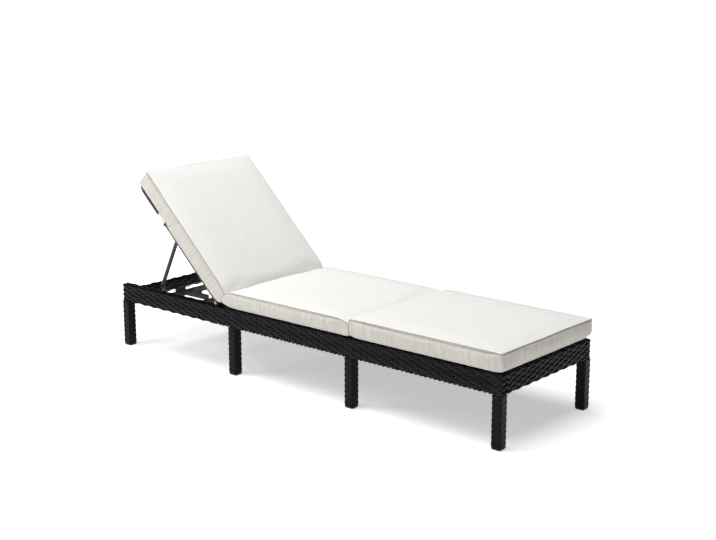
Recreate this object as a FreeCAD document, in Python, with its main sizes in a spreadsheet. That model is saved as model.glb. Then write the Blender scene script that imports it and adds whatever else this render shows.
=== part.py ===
import FreeCAD, Part
import math
import os
import Sketcher

# Adjustable chaise longue: a welded steel frame wrapped in woven strand, a tubular backrest
# that hinges on the side rails, a U-shaped prop that drops into toothed racks, three cushions.
# Z is up, Y runs along the length with the head end at +Y, X runs across, and the origin is
# on the floor under the middle. The backrest and the prop are drawn lying flat, each about
# its own hinge line, and then turned up to the angle in the photograph.

V = FreeCAD.Vector
doc = FreeCAD.newDocument("lounger")
sheet = doc.addObject("Spreadsheet::Sheet", "sizes")

SIZES = (
    # whole frame
    ("overall_length", 1960.0),
    ("overall_width", 577.0),
    ("rail_top_height", 270.0),
    ("rail_height", 74.0),
    ("rail_width", 35.6),
    ("end_rail_depth", 33.0),
    ("head_rail_drop", 27.5),
    ("weave_thickness", 3.0),
    ("weave_corner", 5.0),
    ("weave_hole_gap", 0.4),
    # steel inside the weave
    ("frame_tube", 20.0),
    ("frame_tube_wall", 1.5),
    # legs
    ("leg_width", 35.0),
    ("leg_depth", 37.0),
    ("seat_front_leg_to_end", 680.5),
    ("seat_rear_leg_to_end", 664.5),
    ("glide_height", 5.0),
    ("glide_foot_inset", 3.0),
    ("glide_collar_inset", 1.0),
    ("glide_plug_height", 24.0),
    ("glide_plug_width", 24.0),
    # seat deck
    ("deck_thickness", 6.0),
    ("deck_to_hinge", 32.0),
    ("deck_tube_inset", 46.0),
    ("deck_tube_count", 5.0),
    ("seat_gap", 0.3),
    # hinge of the backrest
    ("hinge_to_end", 568.0),
    ("hinge_rise", 12.0),
    ("hinge_plate_thickness", 4.0),
    ("hinge_plate_depth", 40.0),
    ("hinge_plate_drop", 34.0),
    ("hinge_plate_crown", 9.5),
    ("pivot_radius", 4.0),
    ("pivot_gap", 0.05),
    ("pivot_head_radius", 7.0),
    ("pivot_head_height", 5.0),
    ("washer_radius", 7.0),
    ("side_gap", 0.3),
    # backrest frame
    ("back_angle", 43.5),
    ("back_length", 626.0),
    ("back_tube_inset", 20.5),
    ("back_bend", 42.0),
    ("back_tube_radius", 9.0),
    ("back_knuckle_radius", 9.5),
    ("cross_tube_radius", 5.0),
    ("cross_tube_wall", 1.0),
    ("cross_tube_drop", 2.0),
    ("cross_tube_lower", 48.0),
    ("cross_tube_to_top", 159.0),
    ("panel_thickness", 6.0),
    ("panel_lower_gap", 14.0),
    ("panel_upper_gap", 3.0),
    # prop under the backrest
    ("prop_inset", 30.0),
    ("prop_bend", 34.0),
    ("prop_tube_radius", 8.0),
    ("prop_pivot_along", 340.0),
    ("prop_pivot_drop", 24.0),
    ("prop_plate_thickness", 4.0),
    ("prop_plate_radius", 8.5),
    # racks that hold the prop
    ("rack_half_span", 138.0),
    ("rack_thickness", 5.0),
    ("rack_bottom_drop", 40.0),
    ("rack_bar_height", 23.7),
    ("rack_pitch", 50.0),
    ("rack_teeth", 3.0),
    ("rack_tooth_height", 19.0),
    ("rack_stop_reach", 385.4),
    ("rack_stop_thickness", 12.0),
    ("rack_stop_height", 17.0),
    ("rack_lead", 42.0),
    ("rack_tube_inset", 12.0),
    ("notch_gap", 0.3),
    # cushions
    ("cushion_side_inset", 4.5),
    ("foot_cushion_length", 676.5),
    ("cushion_split_gap", 1.0),
    ("seat_cushion_to_hinge", 46.0),
    ("seat_thickness", 62.0),
    ("foot_thickness", 71.0),
    ("back_thickness", 66.0),
    ("cushion_crown", 7.0),
    ("cushion_corner", 13.0),
    ("cushion_waist", 3.0),
    ("back_cushion_below_hinge", 15.0),
    ("back_cushion_top_inset", 3.0),
    ("back_cushion_lift", 13.5),
    # straps that hold the back cushion on its frame
    ("strap_place", 435.0),
    ("strap_width", 50.0),
    ("strap_thickness", 2.4),
    ("strap_gap", 0.3),
)

for row, (alias, value) in enumerate(SIZES, start=1):
    sheet.set(f"A{row}", alias)
    sheet.set(f"B{row}", str(value))
    sheet.setAlias(f"B{row}", alias)
doc.recompute()

nodes = {}


def size(alias):
    """A driving size, read from the sheet."""
    return float(sheet.get(alias))


def bind(item, **sizes):
    """Ties properties to the sheet. In the expressions @name stands for the sheet's cell."""
    for name, text in sizes.items():
        item.setExpression(name.replace("__", "."), text.replace("@", "sizes."))


def put(item, x="0", y="0", z="0", tilt=None):
    """Places an item, turned about X by an angle in degrees."""
    if tilt:
        item.Placement = FreeCAD.Placement(V(), FreeCAD.Rotation(V(1, 0, 0), 1))
        bind(item, Placement__Rotation__Angle=tilt)
    bind(item, Placement__Base__x=x, Placement__Base__y=y, Placement__Base__z=z)
    return item


def keep(label, item):
    """Registers an item as a sub-part under its label."""
    item.Label = label
    nodes[label] = item
    return item


def block(name, centre, dims):
    """Box about its centre, every value an expression."""
    box = doc.addObject("Part::Box", name)
    bind(box, Length=dims[0], Width=dims[1], Height=dims[2])
    corner = [f"({c}) - ({d}) / 2" for c, d in zip(centre, dims)]
    return put(box, *corner)


def hollow_block(name, centre, dims, hollow):
    """Rectangular tube: a box with a longer, thinner box cut out of it."""
    tube = doc.addObject("Part::Cut", name)
    tube.Base = block(name + "_outside", centre, dims)
    tube.Tool = block(name + "_inside", centre, hollow)
    return tube


def rod(name, radius, length, centre):
    """Round bar along X about its centre."""
    bar = doc.addObject("Part::Cylinder", name)
    bar.Placement = FreeCAD.Placement(V(), FreeCAD.Rotation(V(0, 1, 0), 90))
    bind(bar, Radius=radius, Height=length)
    x = f"({centre[0]}) - ({length}) / 2"
    bind(bar, Placement__Base__x=x, Placement__Base__y=centre[1], Placement__Base__z=centre[2])
    return bar


def group(name, members):
    """Like pieces kept as separate solids under one name."""
    together = doc.addObject("Part::Compound", name)
    together.Links = members
    return together


def fused(name, members):
    """Pieces welded or moulded into one solid."""
    joined = doc.addObject("Part::MultiFuse", name)
    joined.Shapes = members
    return joined


def cut(name, base, tools):
    """A solid with others cut out of it."""
    result = doc.addObject("Part::Cut", name)
    result.Base = base
    result.Tool = tools[0] if len(tools) == 1 else group(name + "_tools", tools)
    return result


def plane(body, role):
    """Origin plane of a body by its role."""
    return next(f for f in body.Origin.OriginFeatures if f.Role == role)


def sketch_on(body, name, role):
    """Sketch flat on one of its body's origin planes."""
    sketch = body.newObject("Sketcher::SketchObject", name)
    sketch.AttachmentSupport = (plane(body, role), [""])
    sketch.MapMode = "FlatFace"
    return sketch


def hold(sketch, kind, *held):
    """Adds a dimension: what it holds, and last the expression that it follows."""
    *places, text = held
    if kind == "Radius":
        drawn = sketch.Geometry[places[0]].Radius
    else:
        run = sketch.getPoint(*places[2:]) - sketch.getPoint(*places[:2])
        drawn = run.x if kind == "DistanceX" else run.y
    index = sketch.addConstraint(Sketcher.Constraint(kind, *places, drawn))
    sketch.setExpression(f"Constraints[{index}]", text.replace("@", "sizes."))


def add_rectangle(sketch, wide, high):
    """Rectangle centred on the sketch's origin."""
    first = sketch.GeometryCount
    unit = [V(-1, -1), V(1, -1), V(1, 1), V(-1, 1)]
    for i in range(4):
        sketch.addGeometry(Part.LineSegment(unit[i], unit[(i + 1) % 4]))
    for i in range(4):
        sketch.addConstraint(Sketcher.Constraint("Coincident", first + i, 2, first + (i + 1) % 4, 1))
    for i in (0, 2):
        sketch.addConstraint(Sketcher.Constraint("Horizontal", first + i))
        sketch.addConstraint(Sketcher.Constraint("Vertical", first + i + 1))
    sketch.addConstraint(Sketcher.Constraint("Symmetric", first, 1, first + 2, 1, -1, 1))
    hold(sketch, "DistanceX", first, 1, first, 2, wide)
    hold(sketch, "DistanceY", first + 1, 1, first + 1, 2, high)


def add_circle(sketch, x, y, radius):
    """Circle on the sketch at a place given by sizes of the sheet. A zero stays on its axis."""
    index = sketch.addGeometry(Part.Circle(V(1, 1), V(0, 0, 1), 1))
    if x == "0":
        sketch.addConstraint(Sketcher.Constraint("PointOnObject", index, 3, -2))
    else:
        hold(sketch, "DistanceX", -1, 1, index, 3, x)
    if y == "0":
        sketch.addConstraint(Sketcher.Constraint("PointOnObject", index, 3, -1))
    else:
        hold(sketch, "DistanceY", -1, 1, index, 3, y)
    hold(sketch, "Radius", index, radius)


def pad(body, name, sketch, length):
    """Pad the same distance to both sides of its sketch."""
    feature = body.newObject("PartDesign::Pad", name)
    feature.Profile = sketch
    feature.Midplane = True
    bind(feature, Length=length)
    body.Tip = feature
    return feature


def through(body, name, sketch):
    """Pocket that goes right through the body to both sides."""
    feature = body.newObject("PartDesign::Pocket", name)
    feature.Profile = sketch
    feature.Midplane = True
    feature.Type = "ThroughAll"
    body.Tip = feature
    return feature


def check_volume(body, name, before):
    """A pocket that points away from the solid would change nothing."""
    doc.recompute()
    if not body.Shape.Volume < before:
        raise ValueError(name + " removed nothing")


# Woven sleeves. Each is one strand-woven skin, drawn as a rounded tube as thick as the weave,
# over the steel that carries it.
def woven_sleeve(name, role, wide, high, long, open_inside=True):
    """Rounded bar along its plane's normal, or a tube with walls one weave thick."""
    body = doc.addObject("PartDesign::Body", name)
    outline = sketch_on(body, name + "_outline", role)
    add_rectangle(outline, wide, high)
    if open_inside:
        twice = "2 * @weave_thickness"
        add_rectangle(outline, f"({wide}) - {twice}", f"({high}) - {twice}")
    solid = pad(body, name + "_pad", outline, long)
    doc.recompute()
    box = solid.Shape.BoundBox
    along = {"XY_Plane": "z", "XZ_Plane": "y", "YZ_Plane": "x"}[role]
    corners = []
    for number, edge in enumerate(solid.Shape.Edges, start=1):
        middle = edge.CenterOfMass
        if abs(getattr(edge.tangentAt(edge.FirstParameter), along)) < 0.5:
            continue
        across = [a for a in "xyz" if a != along]
        at_edge = [
            min(getattr(middle, a) - getattr(box, a.upper() + "Min"),
                getattr(box, a.upper() + "Max") - getattr(middle, a))
            for a in across
        ]
        if max(at_edge) < size("weave_thickness") / 2:
            corners.append(f"Edge{number}")
    rounding = body.newObject("PartDesign::Fillet", name + "_rounding")
    rounding.Base = (solid, corners)
    bind(rounding, Radius="@weave_corner")
    body.Tip = rounding
    return body


SIDES = (("left", "-1"), ("right", "1"))
HINGE_PLACE = "(@overall_length / 2 - @hinge_to_end)"
DECK_REAR = f"({HINGE_PLACE} - @deck_to_hinge)"
BACK_HALF_SPAN = "(@overall_width / 2 - @back_tube_inset)"
PROP_HALF_SPAN = f"({BACK_HALF_SPAN} - @prop_inset)"
RACK_STOP_PLACE = f"({HINGE_PLACE} + @rack_stop_reach)"
RACK_BOTTOM = "(@rail_top_height - @rack_bottom_drop)"
RACK_VALLEY = f"({RACK_BOTTOM} + @rack_bar_height)"
hinge_place = size("overall_length") / 2 - size("hinge_to_end")
back_half_span = size("overall_width") / 2 - size("back_tube_inset")
prop_half_span = back_half_span - size("prop_inset")
rack_stop_place = hinge_place + size("rack_stop_reach")
rack_valley = size("rail_top_height") - size("rack_bottom_drop") + size("rack_bar_height")
RAIL_BOTTOM = "@rail_top_height - @rail_height"
RAIL_CENTRE = "@overall_width / 2 - @rail_width / 2"
LEG_CENTRE = "@overall_width / 2 - @leg_width / 2"
END_LEG_PLACE = "@overall_length / 2 - @leg_depth / 2"
LEG_PLACES = (
    ("foot_end", f"-({END_LEG_PLACE})"),
    ("seat_front", "-(@overall_length / 2 - @seat_front_leg_to_end)"),
    ("seat_rear", "@overall_length / 2 - @seat_rear_leg_to_end"),
    ("head_end", END_LEG_PLACE),
)
INNER_FACE = "@overall_width / 2 - @rail_width"
TUBE_UPPER = "@rail_top_height - @weave_thickness - @frame_tube / 2"
TUBE_LOWER = f"{RAIL_BOTTOM} + @weave_thickness + @frame_tube / 2"
RAIL_TUBE_WIDTH = "@rail_width - 2 * @weave_thickness"

# Cross tubes of the seat deck, evenly spaced from the foot end to the deck's rear edge.
DECK_TUBE_Z = "@rail_top_height - @deck_thickness - @frame_tube / 2"
DECK_FRONT = "-@overall_length / 2 + @end_rail_depth"
deck_tube_count = int(size("deck_tube_count"))
deck_tube_places = []
for i in range(deck_tube_count):
    share = i / (deck_tube_count - 1)
    run = f"({DECK_REAR} - @deck_tube_inset) - ({DECK_FRONT} + @deck_tube_inset)"
    deck_tube_places.append(f"{DECK_FRONT} + @deck_tube_inset + ({run}) * {share}")

# Cross tubes under the two ends of the racks.
RACK_TUBE_Z = f"{RACK_BOTTOM} - @frame_tube / 2"
RACK_REAR = f"{RACK_STOP_PLACE} + @rack_stop_thickness"
RACK_FRONT = f"{RACK_STOP_PLACE} - @rack_teeth * @rack_pitch - @rack_lead"
rack_tube_places = (f"{RACK_FRONT} + @rack_tube_inset", RACK_REAR)

# Tubes that reach through the inner wall of the side weave to the side frame.
SPAN = f"2 * ({INNER_FACE} + @weave_thickness)"
END_TUBE_DEPTH = "@end_rail_depth - 2 * @weave_thickness"
FOOT_Y = "-(@overall_length / 2 - @end_rail_depth / 2)"
HEAD_Y = "@overall_length / 2 - @end_rail_depth / 2"
HEAD_UPPER = "@rail_top_height - @head_rail_drop - @weave_thickness - @frame_tube / 2"
FRAME_CROSSINGS = [
    ("foot_end_upper", FOOT_Y, TUBE_UPPER, END_TUBE_DEPTH),
    ("foot_end_lower", FOOT_Y, TUBE_LOWER, END_TUBE_DEPTH),
    ("head_end_upper", HEAD_Y, HEAD_UPPER, END_TUBE_DEPTH),
    ("head_end_lower", HEAD_Y, TUBE_LOWER, END_TUBE_DEPTH),
]
FRAME_CROSSINGS += [
    (f"deck_{i}", place, DECK_TUBE_Z, "@frame_tube") for i, place in enumerate(deck_tube_places)
]
FRAME_CROSSINGS += [
    (f"rack_{i}", place, RACK_TUBE_Z, "@frame_tube") for i, place in enumerate(rack_tube_places)
]


def crossing_tube(name, place, height, depth):
    """Square tube across the lounger, welded at both ends to the side frames."""
    dims = (SPAN, depth, "@frame_tube")
    inside = (f"{SPAN} + @frame_tube", f"{depth} - 2 * @frame_tube_wall", "@frame_tube - 2 * @frame_tube_wall")
    return hollow_block(name, ("0", place, height), dims, inside)


def crossing_hole(name, place, height, depth):
    """Clearance for one cross tube in the weave of a side rail."""
    loose = "2 * @weave_hole_gap"
    return block(name, ("0", place, height), (SPAN, f"{depth} + {loose}", f"@frame_tube + {loose}"))


# Side frames: an upper and a lower tube joined by an upright over each leg.
for side, sign in SIDES:
    x = f"{sign} * ({RAIL_CENTRE})"
    run = "@overall_length - 2 * @weave_thickness"
    members = []
    for tier, height in (("upper", TUBE_UPPER), ("lower", TUBE_LOWER)):
        inside = (
            f"{RAIL_TUBE_WIDTH} - 2 * @frame_tube_wall",
            f"{run} + @frame_tube",
            "@frame_tube - 2 * @frame_tube_wall",
        )
        dims = (RAIL_TUBE_WIDTH, run, "@frame_tube")
        members.append(hollow_block(f"side_{side}_{tier}", (x, "0", height), dims, inside))
    gap = "@rail_height - 2 * @weave_thickness - 2 * @frame_tube"
    for place, y in LEG_PLACES:
        middle = f"{RAIL_BOTTOM} + @rail_height / 2"
        dims = (RAIL_TUBE_WIDTH, "@leg_depth - 2 * @weave_thickness", gap)
        members.append(block(f"upright_{side}_{place}", (x, y, middle), dims))
    keep(f"side_frame_{side}", fused(f"side_frame_{side}", members))

# Woven side rails, closed at their ends, with holes through which the cross tubes and the leg
# tubes reach the side frames.
for side, sign in SIDES:
    x = f"{sign} * ({RAIL_CENTRE})"
    middle = f"{RAIL_BOTTOM} + @rail_height / 2"
    bar = woven_sleeve(
        f"side_bar_{side}", "XZ_Plane", "@rail_width", "@rail_height", "@overall_length", open_inside=False
    )
    put(bar, x=x, z=middle)
    room = tuple(f"@{d} - 2 * @weave_thickness" for d in ("rail_width", "overall_length", "rail_height"))
    hollows = [block(f"side_room_{side}", (x, "0", middle), room)]
    hollows += [crossing_hole(f"hole_{side}_{c[0]}", *c[1:]) for c in FRAME_CROSSINGS]
    for place, y in LEG_PLACES:
        dims = tuple(f"@{d} - 2 * @weave_thickness + 2 * @weave_hole_gap" for d in ("leg_width", "leg_depth"))
        centre = (f"{sign} * ({LEG_CENTRE})", y, RAIL_BOTTOM)
        hollows.append(block(f"passage_{side}_{place}", centre, dims + ("2 * @weave_thickness",)))
    keep(f"side_rail_weave_{side}", cut(f"side_rail_weave_{side}", bar, hollows))

# Woven end rails between the side rails. The head rail is lower, so the prop folds over it.
for end, y, drop in (("foot", FOOT_Y, "0"), ("head", HEAD_Y, "@head_rail_drop")):
    high = f"@rail_height - {drop}"
    width = f"2 * ({INNER_FACE})"
    sleeve = woven_sleeve(f"{end}_rail_weave", "YZ_Plane", "@end_rail_depth", high, width)
    put(sleeve, y=y, z=f"{RAIL_BOTTOM} + ({high}) / 2")
    keep(f"{end}_rail_weave", sleeve)
    tubes = [crossing_tube(f"{c[0]}_tube", *c[1:]) for c in FRAME_CROSSINGS if c[0].startswith(end)]
    keep(f"{end}_rail_tubes", group(f"{end}_rail_tubes", tubes))

# Cross tubes that carry the seat deck and the racks.
for use in ("deck", "rack"):
    tubes = [crossing_tube(f"{c[0]}_tube", *c[1:]) for c in FRAME_CROSSINGS if c[0].startswith(use)]
    keep(f"{use}_cross_tubes", group(f"{use}_cross_tubes", tubes))

# Legs: a steel tube welded under the side frame, a woven sleeve over it, and below it a thin
# moulded cap that tapers to the floor, its plug pushed into the tube.
LEG_HEIGHT = f"{RAIL_BOTTOM} - @glide_height"
LEG_MIDDLE = f"@glide_height + ({LEG_HEIGHT}) / 2"
LEG_TUBE_TOP = f"{RAIL_BOTTOM} + @weave_thickness"
leg_tubes = []
glides = []
for side, sign in SIDES:
    x = f"{sign} * ({LEG_CENTRE})"
    for place, y in LEG_PLACES:
        sleeve = woven_sleeve(f"leg_weave_{side}_{place}", "XY_Plane", "@leg_width", "@leg_depth", LEG_HEIGHT)
        put(sleeve, x=x, y=y, z=LEG_MIDDLE)
        keep(f"leg_weave_{side}_{place}", sleeve)
        tall = f"{LEG_HEIGHT} + @weave_thickness"
        dims = ("@leg_width - 2 * @weave_thickness", "@leg_depth - 2 * @weave_thickness", tall)
        inside = tuple(f"({d}) - 2 * @frame_tube_wall" for d in dims[:2]) + (f"{tall} + @frame_tube",)
        centre = (x, y, f"@glide_height + ({tall}) / 2")
        leg_tubes.append(hollow_block(f"leg_tube_{side}_{place}", centre, dims, inside))
        foot = doc.addObject("Part::Wedge", f"glide_foot_{side}_{place}")
        foot.Placement = FreeCAD.Placement(V(), FreeCAD.Rotation(V(1, 0, 0), 90))
        wide, deep = "(@leg_width / 2 - @glide_foot_inset)", "(@leg_depth / 2 - @glide_foot_inset)"
        bind(foot, Ymax="@glide_height", Xmin=f"-{wide}", Xmax=wide, Zmin=f"-{deep}", Zmax=deep)
        wide, deep = "(@leg_width / 2 - @glide_collar_inset)", "(@leg_depth / 2 - @glide_collar_inset)"
        bind(foot, X2min=f"-{wide}", X2max=wide, Z2min=f"-{deep}", Z2max=deep)
        bind(foot, Placement__Base__x=x, Placement__Base__y=y)
        plug_dims = ("@glide_plug_width", "@glide_plug_width", "@glide_plug_height")
        plug_centre = (x, y, "@glide_height + @glide_plug_height / 2")
        plug = block(f"glide_plug_{side}_{place}", plug_centre, plug_dims)
        glides.append(fused(f"glide_{side}_{place}", [foot, plug]))
keep("leg_tubes", group("leg_tubes", leg_tubes))
keep("leg_glides", group("leg_glides", glides))

# Woven seat deck, flush with the rails.
DECK_LENGTH = f"{DECK_REAR} - ({DECK_FRONT}) - @seat_gap"
deck_centre = ("0", f"{DECK_REAR} - ({DECK_LENGTH}) / 2", "@rail_top_height - @deck_thickness / 2")
deck_dims = (f"2 * ({INNER_FACE} - @seat_gap)", DECK_LENGTH, "@deck_thickness")
keep("seat_deck", block("seat_deck", deck_centre, deck_dims))

# Toothed racks. Each is cut from plate: a bar, saw teeth with their steep faces towards the
# foot end, and a stop at the head end. The prop lies in the seat in front of the stop.
SEAT_LENGTH = "2 * (@prop_tube_radius + @notch_gap)"
for side, sign in SIDES:
    rack = doc.addObject("PartDesign::Body", f"rack_{side}")
    bar = sketch_on(rack, f"rack_bar_{side}", "YZ_Plane")
    start, stop = -size("rack_teeth") * size("rack_pitch") - size("rack_lead"), size("rack_stop_thickness")
    low = -size("rack_bar_height")
    outline = [V(start, low), V(stop, low), V(stop, 0), V(start, 0)]
    for i in range(4):
        bar.addGeometry(Part.LineSegment(outline[i], outline[(i + 1) % 4]))
    for i in range(4):
        bar.addConstraint(Sketcher.Constraint("Coincident", i, 2, (i + 1) % 4, 1))
    for i in (0, 2):
        bar.addConstraint(Sketcher.Constraint("Horizontal", i))
        bar.addConstraint(Sketcher.Constraint("Vertical", i + 1))
    bar.addConstraint(Sketcher.Constraint("PointOnObject", 2, 1, -1))
    hold(bar, "DistanceX", -1, 1, 2, 1, "@rack_stop_thickness")
    hold(bar, "DistanceX", 2, 2, -1, 1, "@rack_teeth * @rack_pitch + @rack_lead")
    hold(bar, "DistanceY", 0, 1, 3, 1, "@rack_bar_height")
    pad(rack, f"rack_bar_pad_{side}", bar, "@rack_thickness")
    tooth = sketch_on(rack, f"rack_tooth_{side}", "YZ_Plane")
    pitch, rise = size("rack_pitch"), size("rack_tooth_height")
    ramp = pitch - 2 * (size("prop_tube_radius") + size("notch_gap"))
    outline = [V(-pitch, 0), V(-pitch + ramp, 0), V(-pitch, rise)]
    for i in range(3):
        tooth.addGeometry(Part.LineSegment(outline[i], outline[(i + 1) % 3]))
    for i in range(3):
        tooth.addConstraint(Sketcher.Constraint("Coincident", i, 2, (i + 1) % 3, 1))
    tooth.addConstraint(Sketcher.Constraint("PointOnObject", 0, 1, -1))
    tooth.addConstraint(Sketcher.Constraint("Horizontal", 0))
    tooth.addConstraint(Sketcher.Constraint("Vertical", 2))
    hold(tooth, "DistanceX", 0, 1, -1, 1, "@rack_pitch")
    hold(tooth, "DistanceX", 0, 1, 0, 2, f"@rack_pitch - {SEAT_LENGTH}")
    hold(tooth, "DistanceY", 2, 2, 2, 1, "@rack_tooth_height")
    first_tooth = pad(rack, f"rack_tooth_pad_{side}", tooth, "@rack_thickness")
    row = rack.newObject("PartDesign::LinearPattern", f"rack_teeth_{side}")
    row.Originals = [first_tooth]
    row.Direction = (tooth, ["H_Axis"])
    row.Reversed = True
    bind(row, Length="(@rack_teeth - 1) * @rack_pitch", Occurrences="@rack_teeth")
    rack.Tip = row
    stop_sketch = sketch_on(rack, f"rack_stop_{side}", "YZ_Plane")
    deep, tall = size("rack_stop_thickness"), size("rack_stop_height")
    outline = [V(0, 0), V(deep, 0), V(deep, tall), V(0, tall)]
    for i in range(4):
        stop_sketch.addGeometry(Part.LineSegment(outline[i], outline[(i + 1) % 4]))
    for i in range(4):
        stop_sketch.addConstraint(Sketcher.Constraint("Coincident", i, 2, (i + 1) % 4, 1))
    for i in (0, 2):
        stop_sketch.addConstraint(Sketcher.Constraint("Horizontal", i))
        stop_sketch.addConstraint(Sketcher.Constraint("Vertical", i + 1))
    stop_sketch.addConstraint(Sketcher.Constraint("Coincident", 0, 1, -1, 1))
    hold(stop_sketch, "DistanceX", 0, 1, 0, 2, "@rack_stop_thickness")
    hold(stop_sketch, "DistanceY", 1, 1, 1, 2, "@rack_stop_height")
    rack.Tip = pad(rack, f"rack_stop_pad_{side}", stop_sketch, "@rack_thickness")
    put(rack, x=f"{sign} * @rack_half_span", y=RACK_STOP_PLACE, z=RACK_VALLEY)
    keep(f"rack_{side}", rack)

# Hinge plates on the inner faces of the side rails, with the bolts that the backrest turns on.
HINGE_Z = "@rail_top_height + @hinge_rise"
for side, sign in SIDES:
    plate = doc.addObject("PartDesign::Body", f"hinge_plate_{side}")
    crown = sketch_on(plate, f"hinge_crown_{side}", "YZ_Plane")
    add_circle(crown, "0", "0", "@hinge_plate_crown")
    pad(plate, f"hinge_crown_pad_{side}", crown, "@hinge_plate_thickness")
    cheek = sketch_on(plate, f"hinge_cheek_{side}", "YZ_Plane")
    half, neck = size("hinge_plate_depth") / 2, size("hinge_plate_crown")
    foot, deep = -size("hinge_rise"), -size("hinge_rise") - size("hinge_plate_drop")
    outline = [V(-half, deep), V(half, deep), V(half, foot), V(neck, 0), V(-neck, 0), V(-half, foot)]
    for i in range(6):
        cheek.addGeometry(Part.LineSegment(outline[i], outline[(i + 1) % 6]))
    for i in range(6):
        cheek.addConstraint(Sketcher.Constraint("Coincident", i, 2, (i + 1) % 6, 1))
    cheek.addConstraint(Sketcher.Constraint("Vertical", 1))
    cheek.addConstraint(Sketcher.Constraint("Vertical", 5))
    cheek.addConstraint(Sketcher.Constraint("Symmetric", 0, 1, 0, 2, -2))
    cheek.addConstraint(Sketcher.Constraint("Symmetric", 3, 1, 3, 2, -1, 1))
    cheek.addConstraint(Sketcher.Constraint("PointOnObject", 3, 1, -1))
    cheek.addConstraint(Sketcher.Constraint("Equal", 1, 5))
    hold(cheek, "DistanceX", 0, 1, 0, 2, "@hinge_plate_depth")
    hold(cheek, "DistanceX", 3, 2, 3, 1, "2 * @hinge_plate_crown")
    hold(cheek, "DistanceY", 1, 2, -1, 1, "@hinge_rise")
    hold(cheek, "DistanceY", 1, 1, 1, 2, "@hinge_plate_drop")
    pad(plate, f"hinge_cheek_pad_{side}", cheek, "@hinge_plate_thickness")
    doc.recompute()
    solid_volume = plate.Shape.Volume
    eye = sketch_on(plate, f"hinge_eye_{side}", "YZ_Plane")
    add_circle(eye, "0", "0", "@pivot_radius")
    plate.Tip = through(plate, f"hinge_eye_cut_{side}", eye)
    check_volume(plate, plate.Name, solid_volume)
    x = f"{sign} * ({INNER_FACE} - @hinge_plate_thickness / 2)"
    put(plate, x=x, y=HINGE_PLACE, z=HINGE_Z)
    keep(f"hinge_plate_{side}", plate)


def pivot_bolt(name, inner, outer, y, z, sign):
    """Bolt along X with a hexagon head at its inner end and a nut at its outer end."""
    middle = f"{sign} * ({inner} + {outer}) / 2"
    shank_length = f"{outer} - ({inner}) + 2 * @pivot_head_height"
    parts = [rod(name + "_shank", "@pivot_radius", shank_length, (middle, y, z))]
    for end, face in (("head", f"{inner} - @pivot_head_height"), ("nut", outer)):
        hexagon = doc.addObject("Part::Prism", f"{name}_{end}")
        hexagon.Polygon = 6
        hexagon.Placement = FreeCAD.Placement(V(), FreeCAD.Rotation(V(0, 1, 0), 90))
        bind(hexagon, Circumradius="@pivot_head_radius", Height="@pivot_head_height")
        low = face if sign == "1" else f"-({face} + @pivot_head_height)"
        bind(hexagon, Placement__Base__x=low, Placement__Base__y=y, Placement__Base__z=z)
        parts.append(hexagon)
    return fused(name, parts)


KNUCKLE_OUTER = f"{BACK_HALF_SPAN} + @back_tube_radius + @side_gap"
KNUCKLE_INNER = f"{BACK_HALF_SPAN} - @back_tube_radius - @side_gap"
bolts = []
spacers = []
for side, sign in SIDES:
    inner = f"{INNER_FACE} - @hinge_plate_thickness"
    bolts.append(pivot_bolt(f"hinge_bolt_{side}", inner, KNUCKLE_OUTER, HINGE_PLACE, HINGE_Z, sign))
    wide = f"{KNUCKLE_INNER} - ({INNER_FACE})"
    centre = (f"{sign} * ({KNUCKLE_INNER} + {INNER_FACE}) / 2", HINGE_PLACE, HINGE_Z)
    ring = cut(
        f"hinge_spacer_{side}",
        rod(f"spacer_outside_{side}", "@washer_radius", wide, centre),
        [rod(f"spacer_inside_{side}", "@pivot_radius", f"2 * ({wide})", centre)],
    )
    spacers.append(ring)
keep("hinge_bolts", group("hinge_bolts", bolts))
keep("hinge_spacers", group("hinge_spacers", spacers))


# Where the prop hangs from the backrest and where it lies in the racks, and so its length.
BACK_TILT = "@back_angle"
PIVOT_Y = f"{HINGE_PLACE} + @prop_pivot_along * cos(@back_angle) + @prop_pivot_drop * sin(@back_angle)"
PIVOT_Z = f"{HINGE_Z} + @prop_pivot_along * sin(@back_angle) - @prop_pivot_drop * cos(@back_angle)"
NOTCH_Y = f"{RACK_STOP_PLACE} - @prop_tube_radius - @notch_gap"
NOTCH_Z = f"{RACK_VALLEY} + @prop_tube_radius + @notch_gap"
REACH_Y = f"({NOTCH_Y} - ({PIVOT_Y}))"
REACH_Z = f"({NOTCH_Z} - ({PIVOT_Z}))"
PROP_LENGTH = f"sqrt({REACH_Y} ^ 2 + {REACH_Z} ^ 2)"
PROP_TILT = f"atan2({REACH_Z}; {REACH_Y})"
tilt_now = math.radians(size("back_angle"))
pivot_y = hinge_place + size("prop_pivot_along") * math.cos(tilt_now)
pivot_y += size("prop_pivot_drop") * math.sin(tilt_now)
pivot_z = size("rail_top_height") + size("hinge_rise") + size("prop_pivot_along") * math.sin(tilt_now)
pivot_z -= size("prop_pivot_drop") * math.cos(tilt_now)
notch_y = rack_stop_place - size("prop_tube_radius") - size("notch_gap")
notch_z = rack_valley + size("prop_tube_radius") + size("notch_gap")
prop_length = math.hypot(notch_y - pivot_y, notch_z - pivot_z)
prop_tilt = math.degrees(math.atan2(notch_z - pivot_z, notch_y - pivot_y))


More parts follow.
